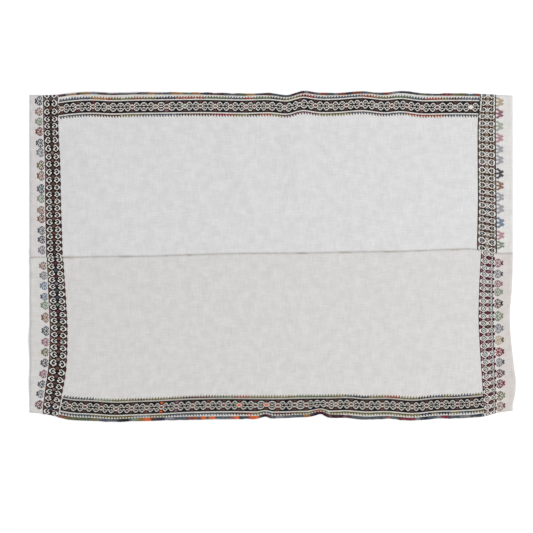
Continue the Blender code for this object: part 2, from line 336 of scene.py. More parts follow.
# Hemp cloth: the threads' spacing, and how far slubs and tones run along them, in millimetres
THREAD_MM = 2.3
SLUB_LENGTH_MM = 60.0
SLUB_WIDTH_MM = 5.0
MOTTLE_MM = 45.0
# The darkest and the palest of its threads, and of its mottling
HEMP_TONES = {"upper": ("#C5C5C4", "#D2D2D1"), "lower": ("#C1C0BD", "#CECDCA")}
MOTTLE_TONES = ("#F9F8F8", "#FFFFFF")
# The brown along the seam, partly soil and partly painted shade in the seam's dip: its reach in millimetres
# and the length of its patches
SEAM_SOIL_AND_SHADE = {"upper": ("#E6DFD7", 6.0), "lower": ("#DACFC2", 9.0)}
SEAM_DARK_PATCH_MM = 110.0
# The tint that handling has left past the end bands, left and right, and where it sets in
HANDLED_ENDS = {"upper": ("#FAF6F5", "#FFFDFA"), "lower": ("#FFFFFE", "#F9F3F1")}
HANDLED_FROM_MM = 1100.0
HANDLED_FULL_MM = 1160.0


def hemp_cloth(panel):
    """Unbleached hand-spun hemp in plain weave: matt, off-white, with slubs and uneven thread tones,
    and a little brown along the seam that is partly soil and partly painted shade in the seam's dip.
    The real threads are about a millimetre apart. They are drawn at 2.3 mm so that they show."""
    made, tree, shader = new_material(f"hand_woven_hemp_{panel}")
    cloth_mm = add(tree, "ShaderNodeUVMap", uv_map="cloth_mm")
    apart = add(tree, "ShaderNodeSeparateXYZ", {0: cloth_mm})

    def thread(axis):
        """A rounded ridge for each thread that runs across this axis."""
        turns = add(tree, "ShaderNodeMath", {0: apart.outputs[axis], 1: math.pi / THREAD_MM},
                    operation="MULTIPLY")
        return add(tree, "ShaderNodeMath", {0: turns}, operation="SINE")

    def streaks(along, across, seed):
        """Noise drawn out along one set of threads, as slubs in hand-spun yarn are."""
        scaled = add(tree, "ShaderNodeMapping", {
            "Vector": cloth_mm, "Location": (seed, seed, 0), "Scale": (1 / along, 1 / across, 1)})
        return add(tree, "ShaderNodeTexNoise", {"Vector": scaled, "Scale": 1.0, "Detail": 3.0})

    weave = add(tree, "ShaderNodeMath", {0: thread(0), 1: thread(1)}, operation="MULTIPLY")
    warp = streaks(SLUB_LENGTH_MM, SLUB_WIDTH_MM, 3.0)
    weft = streaks(SLUB_WIDTH_MM, SLUB_LENGTH_MM, 40.0)
    both = add(tree, "ShaderNodeMath", {0: warp, 1: weft}, operation="ADD")
    mean = add(tree, "ShaderNodeMath", {0: both, 1: 0.5}, operation="MULTIPLY")
    tone = add(tree, "ShaderNodeValToRGB", {"Fac": mean})
    mottle = add(tree, "ShaderNodeValToRGB", {"Fac": streaks(MOTTLE_MM, MOTTLE_MM, 11.0)})
    for ramp, places, colours in ((tone, (0.36, 0.64), HEMP_TONES[panel]),
                                  (mottle, (0.38, 0.62), MOTTLE_TONES)):
        for stop, place, colour in zip(ramp.color_ramp.elements, places, colours):
            stop.position = place
            stop.color = linear(colour)
    mottled = add(tree, "ShaderNodeMix", {"Factor": 1.0, 6: tone, 7: mottle}, **TINTING)
    # Painted shade and light of the weave: the colour is darker between the threads and lighter on them.
    shade = add(tree, "ShaderNodeMapRange", {
        "Value": weave, "From Min": -1.0, "From Max": 1.0, "To Min": 0.95, "To Max": 1.03})
    woven = add(tree, "ShaderNodeMix", {"Factor": 1.0, 6: mottled.outputs[2], 7: shade}, **TINTING)

    # Brown near the seam, in patches: partly soil, partly painted shade where the cloth dips into the seam.
    brown, reach_mm = SEAM_SOIL_AND_SHADE[panel]
    near_seam = add(tree, "ShaderNodeMapRange", {
        "Value": apart.outputs["Y"], "From Min": 0.0, "From Max": reach_mm, "To Min": 1.0, "To Max": 0.0})
    patches = add(tree, "ShaderNodeMapRange", {
        "Value": streaks(SEAM_DARK_PATCH_MM, SEAM_DARK_PATCH_MM, 70.0), "From Min": 0.50, "From Max": 0.60})
    soil_and_shade = add(tree, "ShaderNodeMath", {0: near_seam, 1: patches}, operation="MULTIPLY")
    stained_and_shaded = add(tree, "ShaderNodeMix", {"Factor": soil_and_shade, 6: woven.outputs[2], 7: linear(brown)}, **TINTING)
    for end, tint in zip((-1, 1), HANDLED_ENDS[panel]):
        past = add(tree, "ShaderNodeMapRange", {
            "Value": apart.outputs["X"], "From Min": end * HANDLED_FROM_MM,
            "From Max": end * HANDLED_FULL_MM})
        stained_and_shaded = add(tree, "ShaderNodeMix", {"Factor": past, 6: stained_and_shaded.outputs[2], 7: linear(tint)}, **TINTING)

    height = add(tree, "ShaderNodeMath", {0: weave, 1: 0.35, 2: both}, operation="MULTIPLY_ADD")
    bump = add(tree, "ShaderNodeBump", {"Height": height, "Strength": 0.45, "Distance": 0.0006})
    rough = add(tree, "ShaderNodeMapRange", {
        "Value": both, "From Min": 0.6, "From Max": 1.4, "To Min": 0.86, "To Max": 0.97})
    feed(shader, {"Base Color": stained_and_shaded.outputs[2], "Normal": bump, "Roughness": rough,
                  "Sheen Weight": 0.12, "Sheen Roughness": 0.6})
    return made


# Wool: the ply's grooves, and its loose fibres, about 1.1 mm apart
PLY_MM = 3.2
FIBRES_PER_METRE = 900.0
FLECK = 0.12


def two_ply_wool():
    """Dyed two-ply wool: each stitch has its own dye, with the ply's slanting grooves and loose fibre."""
    made, tree, shader = new_material("two_ply_wool")
    dye = add(tree, "ShaderNodeAttribute", attribute_name="dye")
    ply = add(tree, "ShaderNodeAttribute", attribute_name="ply_mm")
    apart = add(tree, "ShaderNodeSeparateXYZ", {0: ply.outputs["Vector"]})
    slant = add(tree, "ShaderNodeMath", {0: apart.outputs["X"], 1: apart.outputs["Y"]}, operation="ADD")
    turns = add(tree, "ShaderNodeMath", {0: slant, 1: 2 * math.pi / PLY_MM}, operation="MULTIPLY")
    groove = add(tree, "ShaderNodeMath", {0: turns}, operation="SINE")
    here = add(tree, "ShaderNodeTexCoord")
    fibre = add(tree, "ShaderNodeTexNoise", {
        "Vector": here.outputs["Object"], "Scale": FIBRES_PER_METRE, "Detail": 2.0})
    # Painted shade of the ply: the colour is darker in its grooves and lighter on its crowns.
    shade = add(tree, "ShaderNodeMath", {0: groove, 1: 0.07, 2: 0.95}, operation="MULTIPLY_ADD")
    fleck = add(tree, "ShaderNodeMapRange", {
        "Value": fibre, "From Min": 0.3, "From Max": 0.7, "To Min": 1 - FLECK, "To Max": 1 + FLECK})
    both = add(tree, "ShaderNodeMath", {0: shade, 1: fleck}, operation="MULTIPLY")
    coloured = add(tree, "ShaderNodeMix", {"Factor": 1.0, 6: dye, 7: both}, **TINTING)
    height = add(tree, "ShaderNodeMath", {0: groove, 1: 0.5, 2: fibre}, operation="MULTIPLY_ADD")
    bump = add(tree, "ShaderNodeBump", {"Height": height, "Strength": 0.4, "Distance": 0.0004})
    feed(shader, {"Base Color": coloured.outputs[2], "Normal": bump, "Roughness": 0.92,
                  "Specular IOR Level": 0.18, "Sheen Weight": 0.03, "Sheen Roughness": 0.5})
    return made


# The stitch makers: Geometry Nodes trees that turn points into yarn

def new_tree(name, sizes):
    """A Geometry Nodes tree with named inputs for its sizes and its material, and its group input."""
    tree = bpy.data.node_groups.new(name, "GeometryNodeTree")
    tree.interface.new_socket("Geometry", in_out="INPUT", socket_type="NodeSocketGeometry")
    for label, size in sizes.items():
        kind = "NodeSocketInt" if isinstance(size, int) else "NodeSocketFloat"
        tree.interface.new_socket(label, in_out="INPUT", socket_type=kind).default_value = size
    tree.interface.new_socket("Material", in_out="INPUT", socket_type="NodeSocketMaterial")
    tree.interface.new_socket("Geometry", in_out="OUTPUT", socket_type="NodeSocketGeometry")
    return tree, add(tree, "NodeGroupInput").outputs


def finish_tree(tree, given, stitch, map_scale):
    """Sets one stitch on each point, turned and sized, and gives the yarn its ply, map and material."""
    place, turn, half_size, cell = (
        add(tree, "GeometryNodeInputNamedAttribute", {"Name": name}, data_type="FLOAT_VECTOR")
        for name in ("place", "turn", "half_size", "cell"))
    kept = add(tree, "GeometryNodeStoreNamedAttribute",
               {"Geometry": stitch, "Name": "place", "Value": add(tree, "GeometryNodeInputPosition")},
               data_type="FLOAT_VECTOR", domain="POINT")
    on_points = add(tree, "GeometryNodeInstanceOnPoints", {
        "Points": given["Geometry"], "Instance": kept, "Rotation": turn, "Scale": half_size})
    real = add(tree, "GeometryNodeRealizeInstances", {"Geometry": on_points})
    millimetres = add(tree, "ShaderNodeVectorMath", {0: half_size, 1: (1000,) * 3}, operation="MULTIPLY")
    ply = add(tree, "ShaderNodeVectorMath", {0: place, 1: millimetres}, operation="MULTIPLY")
    plied = add(tree, "GeometryNodeStoreNamedAttribute",
                {"Geometry": real, "Name": "ply_mm", "Value": ply},
                data_type="FLOAT_VECTOR", domain="POINT")
    # Each dye and shade has its own place on the map, where all its stitches lie on one another.
    inside = add(tree, "ShaderNodeVectorMath", {0: place, 1: (map_scale, map_scale, 0), 2: cell},
                 operation="MULTIPLY_ADD")
    on_map = add(tree, "ShaderNodeVectorMath", {0: inside, 1: (1 / len(YARNS), 1 / SHADES, 0)},
                 operation="MULTIPLY")
    mapped = add(tree, "GeometryNodeStoreNamedAttribute",
                 {"Geometry": plied, "Name": "OFBake", "Value": on_map},
                 data_type="FLOAT2", domain="CORNER")
    smooth = add(tree, "GeometryNodeSetShadeSmooth", {"Geometry": mapped})
    finished = add(tree, "GeometryNodeSetMaterial", {"Geometry": smooth, "Material": given["Material"]})
    add(tree, "NodeGroupOutput", {"Geometry": finished})
    return tree


# How much of its cell on the map a stitch takes, for a stitch of half size 1 and for a wrap in metres
MAP_SCALE = 0.3
WRAP_MAP_SCALE = 25.0


def float_tree():
    """A brocade float: a loaf of yarn along X, wider at its foot, so that floats close up side by side."""
    tree, given = new_tree("brocade_floats", {"End Slope": 0.12, "Side Slope": 0.30})
    block = add(tree, "GeometryNodeMeshCube", {"Size": (2.0, 2.0, 2.0)})
    place = add(tree, "ShaderNodeSeparateXYZ", {0: add(tree, "GeometryNodeInputPosition")}).outputs

    def narrowed(axis, slope, middle):
        """One axis, drawn in towards the top and let out towards the foot."""
        lean = add(tree, "ShaderNodeMath", {0: place["Z"], 1: given[slope]}, operation="MULTIPLY")
        scale = add(tree, "ShaderNodeMath", {0: middle, 1: lean}, operation="SUBTRACT")
        return add(tree, "ShaderNodeMath", {0: place[axis], 1: scale}, operation="MULTIPLY")

    loaf = add(tree, "ShaderNodeCombineXYZ", {
        0: narrowed("X", "End Slope", 1.0), 1: narrowed("Y", "Side Slope", 1.15), 2: place["Z"]})
    shaped = add(tree, "GeometryNodeSetPosition", {"Geometry": block, "Position": loaf})
    return finish_tree(tree, given, shaped, MAP_SCALE)


def strand_tree():
    """A long stitch: a closed spindle of yarn along X whose ends dip into the cloth."""
    tree, given = new_tree("yarn_strands", {"Sides": 5, "Rings": 3, "Dip": 0.8})
    ball = add(tree, "GeometryNodeMeshUVSphere", {
        "Segments": given["Sides"], "Rings": given["Rings"], "Radius": 1.0})
    lying = add(tree, "GeometryNodeTransform", {"Geometry": ball, "Rotation": (0, -math.pi / 2, 0)})
    place = add(tree, "ShaderNodeSeparateXYZ", {0: add(tree, "GeometryNodeInputPosition")}).outputs
    quarter = add(tree, "ShaderNodeMath", {0: place["X"], 1: math.pi / 2}, operation="MULTIPLY")
    blunt = add(tree, "ShaderNodeMath", {0: quarter}, operation="SINE")
    end = add(tree, "ShaderNodeMath", {0: blunt, 1: 4.0}, operation="POWER")
    sunk = add(tree, "ShaderNodeMath", {0: end, 1: given["Dip"]}, operation="MULTIPLY")
    low = add(tree, "ShaderNodeMath", {0: place["Z"], 1: sunk}, operation="SUBTRACT")
    spindle = add(tree, "ShaderNodeCombineXYZ", {0: blunt, 1: place["Y"], 2: low})
    shaped = add(tree, "GeometryNodeSetPosition", {"Geometry": lying, "Position": spindle})
    return finish_tree(tree, given, shaped, MAP_SCALE)


def wrap_tree():
    """A wrap of wool: an open loop of yarn over an edge that faces along Y, leaning as it goes round."""
    tree, given = new_tree("overcast_wraps", {
        "Steps": 8, "Sides": 5, "Yarn Radius": 0.001, "Reach": 0.010, "Half Height": 0.0015, "Lean": 0.8})
    half_turn = math.radians(96)
    arc = add(tree, "GeometryNodeCurveArc", {
        "Resolution": given["Steps"], "Radius": 1.0, "Start Angle": -half_turn, "Sweep Angle": 2 * half_turn})
    place = add(tree, "ShaderNodeSeparateXYZ", {0: add(tree, "GeometryNodeInputPosition")}).outputs
    out = add(tree, "ShaderNodeMath", {0: place["X"], 1: given["Reach"]}, operation="MULTIPLY")
    up = add(tree, "ShaderNodeMath", {0: place["Y"], 1: given["Half Height"]}, operation="MULTIPLY")
    aside = add(tree, "ShaderNodeMath", {0: up, 1: given["Lean"]}, operation="MULTIPLY")
    loop = add(tree, "GeometryNodeSetPosition", {
        "Geometry": arc, "Position": add(tree, "ShaderNodeCombineXYZ", {0: aside, 1: out, 2: up})})
    round_yarn = add(tree, "GeometryNodeCurvePrimitiveCircle", {
        "Resolution": given["Sides"], "Radius": given["Yarn Radius"]})
    tube = add(tree, "GeometryNodeCurveToMesh", {
        "Curve": loop, "Profile Curve": round_yarn, "Fill Caps": True})
    return finish_tree(tree, given, tube, WRAP_MAP_SCALE)


# Sewing: stitches are gathered as lists of places, turns, half sizes and yarns, and sewn as one piece.

ON_PANEL = {"upper": [], "lower": []}
NUDGE = 0.002


def gather(parts):
    """Joins several lots of stitches."""
    return tuple(np.concatenate(kind) for kind in zip(*parts))


def points_of(name, places, turns, half_sizes, yarns):
    """A mesh of bare points that carry what one stitch each needs. Each gets its own shade of its dye."""
    mesh = bpy.data.meshes.new(name + "_points")
    mesh.vertices.add(len(places))
    mesh.vertices.foreach_set("co", np.ravel(places + SHIFT))
    shade = random.integers(0, SHADES, len(places))
    light = 1 + SHADE_RANGE * ((shade + 0.5) / SHADES - 0.5)
    dyes = np.array([linear(code)[:3] for code in YARNS.values()])[yarns] * light[:, None]
    cells = np.stack((yarns + 0.5, shade + 0.5, np.zeros(len(shade))), axis=1)
    for label, values in (("turn", turns), ("half_size", half_sizes), ("cell", cells)):
        mesh.attributes.new(label, "FLOAT_VECTOR", "POINT").data.foreach_set("vector", np.ravel(values))
    colours = np.concatenate((dyes, np.ones((len(dyes), 1))), axis=1)
    mesh.attributes.new("dye", "FLOAT_COLOR", "POINT").data.foreach_set("color", np.ravel(colours))
    return mesh


def sewn(name, stitches, tree, panel, slot="wool_yarn", **inputs):
    """Runs a stitch tree on its stitches' points, and leaves a plain mesh that lies on one loom width."""
    made = bpy.data.objects.new(name, points_of(name, *stitches))
    bpy.context.scene.collection.objects.link(made)
    maker = made.modifiers.new(tree.name, "NODES")
    maker.node_group = tree
    for item in tree.interface.items_tree:
        if item.item_type == "SOCKET" and item.in_out == "INPUT" and item.name in inputs:
            maker[item.identifier] = inputs[item.name]
    graph = bpy.context.evaluated_depsgraph_get()
    mesh = bpy.data.meshes.new_from_object(
        made.evaluated_get(graph), preserve_all_data_layers=True, depsgraph=graph)
    made.modifiers.clear()
    made.data = mesh
    mesh.name = name
    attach(made, "root")
    ON_PANEL[panel].append(made)
    return made


def turned(forward, up):
    """The Euler angles that turn X to forward and Z as near as may be to up."""
    forward = forward / np.linalg.norm(forward, axis=1, keepdims=True)
    aside = np.cross(up, forward)
    aside /= np.linalg.norm(aside, axis=1, keepdims=True)
    up = np.cross(forward, aside)
    return np.stack((
        np.arctan2(aside[:, 2], up[:, 2]),
        -np.arcsin(np.clip(forward[:, 2], -1, 1)),
        np.arctan2(forward[:, 1], forward[:, 0]),
    ), axis=1)


def on_cloth(panel, u, v, along=(0.0, 1.0)):
    """Places on the cloth's face, with the turn of a stitch that runs that way over the flat cloth."""
    here = surface(panel, u, v)
    to_u = surface(panel, u + NUDGE, v) - here
    to_v = (here - surface(panel, u, v - SIDES[panel] * NUDGE)) * SIDES[panel]
    up = np.cross(to_u, to_v)
    up /= np.linalg.norm(up, axis=1, keepdims=True)
    along_u, along_v = (np.broadcast_to(part, u.shape)[:, None] for part in along)
    return here, turned(to_u * along_u + to_v * along_v, up)


# The ground cloth: the step of its grid, the width of a hem's slope, how far its ends are rounded out,
# how uneven its face is, and the share of its map that the face takes

GRID = 0.011
HEM_SLOPE = 0.002
EDGE_ROUND = 0.0006
COCKLE = 0.00025
FACE_SHARE = 0.8


def sheet_lines(length):
    """Even stations from 0 to length, a grid's step apart."""
    return np.linspace(0, length, round(length / GRID) + 1)


def sheet_faces(rows, columns):
    """A closed sheet's faces, and the points of its rim. Points are numbered row by row, first those of
    the underside, then those of the face, then a line round the middle of the rim."""
    point = np.arange(rows * columns).reshape(rows, columns)
    cells = np.stack((point[:-1, :-1], point[:-1, 1:], point[1:, 1:], point[1:, :-1]), axis=2)
    cells = cells.reshape(-1, 4)
    rim = np.concatenate((point[0], point[1:, -1], point[-1, -2::-1], point[-2:0:-1, 0]))
    rings = (rim, 2 * point.size + np.arange(len(rim)), point.size + rim)
    walls = [np.stack((low, np.roll(low, -1), np.roll(high, -1), high), axis=1)
             for low, high in zip(rings, rings[1:])]
    sheets = np.stack((point.size + cells, cells[:, ::-1]), axis=1)
    return np.concatenate((sheets.reshape(-1, 4), np.stack(walls, axis=1).reshape(-1, 4))), rim


def cloth(panel, finish):
    """One loom width, a closed thin sheet with rounded edges, hems at its ends and a slightly uneven face."""
    side, width = SIDES[panel], WIDTHS[panel]
    foot_of_hem = HALF_LENGTH - HEM_DEPTH - HEM_SLOPE
    us = np.sort(np.append(sheet_lines(2 * HALF_LENGTH) - HALF_LENGTH, (-foot_of_hem, foot_of_hem)))
    vs = side * sheet_lines(width)
    u, v = (part.ravel() for part in np.meshgrid(us, vs))
    under = lay(panel, u, v)
    over = surface(panel, u, v)
    hem = abs(u) >= HALF_LENGTH - HEM_DEPTH - 1e-6
    over[:, 2] += HEM_RISE * hem + COCKLE * random.standard_normal(len(u))
    faces, rim = sheet_faces(len(vs), len(us))
    middle = (under[rim] + over[rim]) / 2
    middle[:, 0] += EDGE_ROUND * np.sign(u[rim]) * (abs(u[rim]) == HALF_LENGTH)
    mesh = bpy.data.meshes.new(f"{panel}_cloth")
    mesh.from_pydata((np.concatenate((under, over, middle)) + SHIFT).tolist(), [], faces[:, ::side].tolist())
    mesh.polygons.foreach_set("use_smooth", [True] * len(mesh.polygons))
    add_cloth_maps(mesh, np.stack((u, abs(v)), axis=1), rim, width)
    mesh.materials.append(finish)
    made = bpy.data.objects.new(f"{panel}_cloth", mesh)
    bpy.context.scene.collection.objects.link(made)
    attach(made, "root")
    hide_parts(f"{panel}_panel")
    return made


def add_cloth_maps(mesh, flat, rim, width):
    """The weave's map, in millimetres of flat cloth, and a map that gives the face most of a square."""
    count = len(flat)
    flat = np.concatenate((flat, flat, flat[rim]))
    corner = np.zeros(len(mesh.loops), dtype=np.int64)
    mesh.loops.foreach_get("vertex_index", corner)
    mesh.uv_layers.new(name="cloth_mm").data.foreach_set("uv", (flat * 1000)[corner].ravel())
    square = flat.copy()
    square[:, 0] = (square[:, 0] + HALF_LENGTH) / (2 * HALF_LENGTH)
    square[:, 1] *= FACE_SHARE / width
    square[:count, 1] = FACE_SHARE + square[:count, 1] * (1 - FACE_SHARE) / FACE_SHARE
    square[2 * count:, 1] = 1.0
    mesh.uv_layers.new(name="OFBake").data.foreach_set("uv", square[corner].ravel())


# Charts of the brocade. # is dark, x the inside of a ring, a dot pale, r and p edge triangles,
# o a lozenge's core, w and f its coloured outline and forks, c a flower's crown, a space bare cloth.

def chart_of(*lines):
    """A chart's symbols, one for each cell."""
    return np.array([list(line) for line in lines])


# One quarter of a side band's figure: lozenge on the left, a curled horn, and the bar that two share.
# It is mirrored in its last row and its last column.
SIDE_CHART = chart_of(
    "################",
    "################",
    "rrrr############",
    "rrrr############",
    "rrr####....#####",
    "rr####......####",
    "r####..####..###",
    "####..##.###..##",
    "#.##..######..##",
    "...##..####..##.",
    "....###....###..",
    "ooo..###..###...",
    "oooo..##########",
    "oooo...#########",
)
SIDE_REPEAT = 30
# An end band's figure, from one lozenge's middle down to the next one's, west edge first. A chart of
# nine rows is mirrored in its last, which is the rings' middle. One of sixteen rows is the whole figure.
# The left-hand bands end in forks on the field side, and the lower right one in blobs by its flowers.
END_CHARTS = {
    "forked": chart_of(
        "#pppp########ooooooo########ppfff",
        "#ppp####..####ooooo####..####pfff",
        "#pp###......###ooo###......###fff",
        "#p###..####..###o###..####..###ff",
        "####...####..#######..####...### ",
        "###...#####################...## ",
        "##...####..###########..####...# ",
        "##...###....#########....###...# ",
        "##...######...#####...######...# ",
        "##...######...#####...######...# ",
        "###...#####...#####...#####...## ",
        "####...###...#######...###...### ",
        "######.....###########.....####f ",
        "#p#####...#####ooo#####...####fff",
        "#pp###########ooooo###########fff",
        "#ppp#########ooooooo#########pfff",
    ),
    "closed": chart_of(
        "##ppp########ooooooo########ppp##",
        "##ppp########ooooooo########ppp##",
        "##pp####..####ooooo####..####pp##",
        "####.......###..o..###.......####",
        "###...xxx....##...##....xxx...###",
        "##...xxxxxx...##.##...xxxxxx...##",
        "##..xxx..xxx...#.#...xxx..xxx..##",
        "##...xxxxxxxx..#.#..xxxxxxxx...##",
        "##...xxx.xxxx.......xxxx.xxx...##",
    ),
    "dotted": chart_of(
        "wwpppwwxxxxxxwwwooooowwwxxxxwwww ",
        "wwpppwwwx..xxwwwooooowwwx..xwwww ",
        "wwwpwww.....wwwwwooowwwww..wwwww ",
        "wwwwww..xxx..wwwwwwwwww..xx.www  ",
        "xwww..xxxxxx.....www....xxxxx..  ",
        "xw...xxx..xxx...x.x...xxx..xx..  ",
        "x....xx....xxx.x...x.xx....xxx.  ",
        "x...xx..xx..xxx.....xxx.xx..xx.  ",
        "x...xx.xxxx..xx..x..xx.xxxx.xx.  ",
        "x...xxx..xx..xx.....xxx.xx..xx.  ",
        "x....xxx....xx.x...x.xx....xxx.  ",
        "xw....xxx..xx...x.x...xx..xxx..  ",
        "xwww...xxxxx.....www...xxxxx...  ",
        "wwwwww...xx..wwwwwwwwww.xxx.www  ",
        "wwwpwww.....wwwwwooowwwww..wwwww ",
        "wwpppwwwx..xxwwwooooowwwx..xwwww ",
    ),
}
END_REPEAT = 16
END_COLUMNS = 33
# Half of a flower, from its stem at the band to its crown, as seen from its axis
FLOWER_CHARTS = {
    "clover": chart_of(
        "########     ccc ",
        "     #####  cccc ",
        "    ###  ## ccccc",
        "   ##     ##  ccc",
        "  ##  ##   ## cc ",
        "  ##  ###  ##    ",
        "   ##  ## ##     ",
        "    ### ###      ",
        "      ###        ",
    ),
    "lily": chart_of(
        "##########       ",
        "#############    ",
        "      #########  ",
        "      ########## ",
        "     #########   ",
        "   #######  ##   ",
        "########         ",
        "######           ",
        "  ###            ",
    ),
}


def mirrored(place, repeat):
    """Where a running count falls in a chart that turns back half way through its repeat."""
    place = place % repeat
    return np.minimum(place, repeat - place)


# A float's longest run in cells, its half height and how uneven that is, how much of it is sunk,
# and how far it overlaps its neighbours
MOST_CELLS = 5
FLOAT_HALF_HEIGHT = 0.0007
FLOAT_HEIGHTS = (0.8, 1.2)
FLOAT_SINK = 0.3
OVERLAP = 1.04


def float_rows(chart):
    """Runs of equal cells down each column, cut to floats: column, first row, cells, symbol.
    Neighbouring columns are tied down on different rows, as bricks are laid."""
    found = []
    rows, columns = chart.shape
    for column in range(columns):
        line = chart[:, column]
        row = 0
        while row < rows:
            end = row + 1
            while end < rows and line[end] == line[row] and (end + 2 * column) % MOST_CELLS:
                end += 1
            if line[row] != " ":
                found.append((column, row, end - row, line[row]))
            row = end
    return found


def brocade(panel, chart, us, vs, dyes):
    """A chart's floats, laid on the cloth between the lines us along it and vs across it.
    dyes gives each symbol's yarn, or the yarns of each row, column or cell."""
    column, row, cells, symbol = (np.array(part) for part in zip(*float_rows(chart)))
    u = (us[column] + us[column + 1]) / 2
    v = (vs[row] + vs[row + cells]) / 2
    places, turns = on_cloth(panel, u, v)
    half_length = abs(vs[row + cells] - vs[row]) / 2 * OVERLAP
    half_width = abs(us[column + 1] - us[column]) / 2 * OVERLAP
    half_height = FLOAT_HALF_HEIGHT * random.uniform(*FLOAT_HEIGHTS, len(u))
    places[:, 2] += half_height * FLOAT_SINK
    dyed = {mark: np.broadcast_to(yarns, chart.shape) for mark, yarns in dyes.items()}
    yarns = np.array([YARN_NUMBERS[dyed[mark][down, across]]
                      for mark, down, across in zip(symbol, row + cells // 2, column)])
    return places, turns, np.stack((half_length, half_width, half_height), axis=1), yarns


# The side bands

SIDE_CELL = 0.00255
# How far from the selvage their floats start, how deep they go, and where the first ones lie in x
SIDE_FLOATS = (0.0377, 0.0600)
SIDE_STARTS = {"upper": -1.070, "lower": -1.043}
PALE_YARNS = {"upper": "cream", "lower": "ecru"}
# Where the side bands' lozenges lie along the rug, for the weaver's count wandered here and there,
# and the yarns of each one's core and of the triangles above and below it, which are else in umber
LOZENGES = {
    "upper": places_and_yarns("""
        -1.117 umber, -1.041 clay, -0.961 umber umber wine, -0.887 russet wine, -0.808 clay,
        -0.690 russet, -0.575 clay, -0.520 russet umber mauve, -0.428 sage, -0.353 umber,
        -0.277 clay umber russet, -0.201 russet, -0.123 mauve, -0.084 russet, -0.019 olive,
        0.067 mauve, 0.141 umber russet, 0.220 russet, 0.298 olive, 0.375 russet, 0.447 umber,
        0.523 grey, 0.601 russet russet, 0.675 wine, 0.749 clay umber russet, 0.825 wine,
        0.914 grey, 0.992 cream, 1.068 clay
    """),
    "lower": places_and_yarns("""
        -1.155 umber, -1.079 russet, -1.002 russet, -0.925 russet, -0.847 umber russet,
        -0.770 russet, -0.693 russet, -0.619 umber umber russet, -0.547 russet orange orange,
        -0.472 umber mauve mauve, -0.391 russet, -0.315 umber russet, -0.237 russet, -0.159 orange,
        -0.079 umber, -0.024 orange, 0.033 russet umber russet, 0.115 umber, 0.176 russet,
        0.278 umber russet, 0.320 clay, 0.397 russet, 0.475 umber, 0.552 russet umber russet,
        0.627 umber, 0.700 russet, 0.772 russet, 0.847 umber russet, 0.924 wine, 0.996 russet,
        1.073 russet
    """),
}
# The gaps between lozenges in which a horn is left out or added, and where a horn's middle falls
NARROW_GAP = 0.062
WIDE_GAP = 0.100
HORN_MIDDLE = 9.4


def side_figure(x, spots):
    """Where places fall in the running figure. In a wide gap between lozenges a third horn is fitted in
    between two bars, and in a narrow one a single horn has no bar."""
    knots, values = [], []
    for number, (start, end) in enumerate(zip(spots, spots[1:])):
        first, gap = SIDE_REPEAT * number, end - start
        marks = [(0.0, 0)]
        if gap > WIDE_GAP:
            marks += [(1 / 3, SIDE_REPEAT / 2), (1 / 2, HORN_MIDDLE - 2), (2 / 3, SIDE_REPEAT / 2)]
        if gap < NARROW_GAP:
            marks += [(0.499, HORN_MIDDLE), (0.501, SIDE_REPEAT - HORN_MIDDLE)]
        knots += [start + share * gap for share, _ in marks]
        values += [first + value for _, value in marks]
    return np.interp(x, knots + [spots[-1]], values + [SIDE_REPEAT * (len(spots) - 1)])


def side_band(panel, tree, finish):
    """The brocaded band along one long side: ram's horns between lozenges, on a dark ground."""
    side, width = SIDES[panel], WIDTHS[panel]
    us = np.linspace(-END_BAND_INNER, END_BAND_INNER, round(2 * END_BAND_INNER / SIDE_CELL) + 1)
    rows = 2 * len(SIDE_CHART) - 1
    vs = side * (width - SIDE_FLOATS[0] - np.linspace(0, SIDE_FLOATS[1], rows + 1))
    centres = (us[:-1] + us[1:]) / 2
    x = laid_x(panel, centres, np.full_like(centres, vs[rows // 2]))
    figure = np.rint(side_figure(x, [row[0] for row in LOZENGES[panel]])).astype(int)
    down = np.minimum(np.arange(rows), rows - 1 - np.arange(rows))
    chart = SIDE_CHART[np.ix_(down, mirrored(figure, SIDE_REPEAT))]
    chart[:, x < SIDE_STARTS[panel]] = " "
    yarns = np.array([(row + ["umber", "umber"])[1:4] for row in LOZENGES[panel]])
    core, high, low = yarns[(figure + SIDE_REPEAT // 2) // SIDE_REPEAT].T
    is_high = (np.arange(rows) < rows // 2) == (side > 0)
    triangles = np.where(is_high[:, None], high, low)
    stitches = brocade(panel, chart, us, vs, {
        "#": "black", ".": PALE_YARNS[panel], "o": core, "r": triangles})
    sewn(f"{panel}_side_band", stitches, tree, panel, Material=finish)


# The end bands: the length of a cell across the rug, and how near to the seam the floats come

END_CELL = 0.00230
END_STOP = 0.0005
# Each end band's chart, its dark yarn, and the yarns that its rings and its corner triangles take
END_STYLES = {
    ("upper", "left"): ("forked", "black", "black charcoal", "mauve umber clay"),
    ("upper", "right"): ("closed", "peat", "smoke charcoal", "sand mauve clay ecru"),
    ("lower", "left"): ("forked", "black", "black charcoal smoke", "mauve clay ecru russet"),
    ("lower", "right"): ("dotted", "charcoal", "slate charcoal charcoal", "mauve dusty_rose wine"),
}
FORK_YARNS = ("umber", "maroon", "brown")
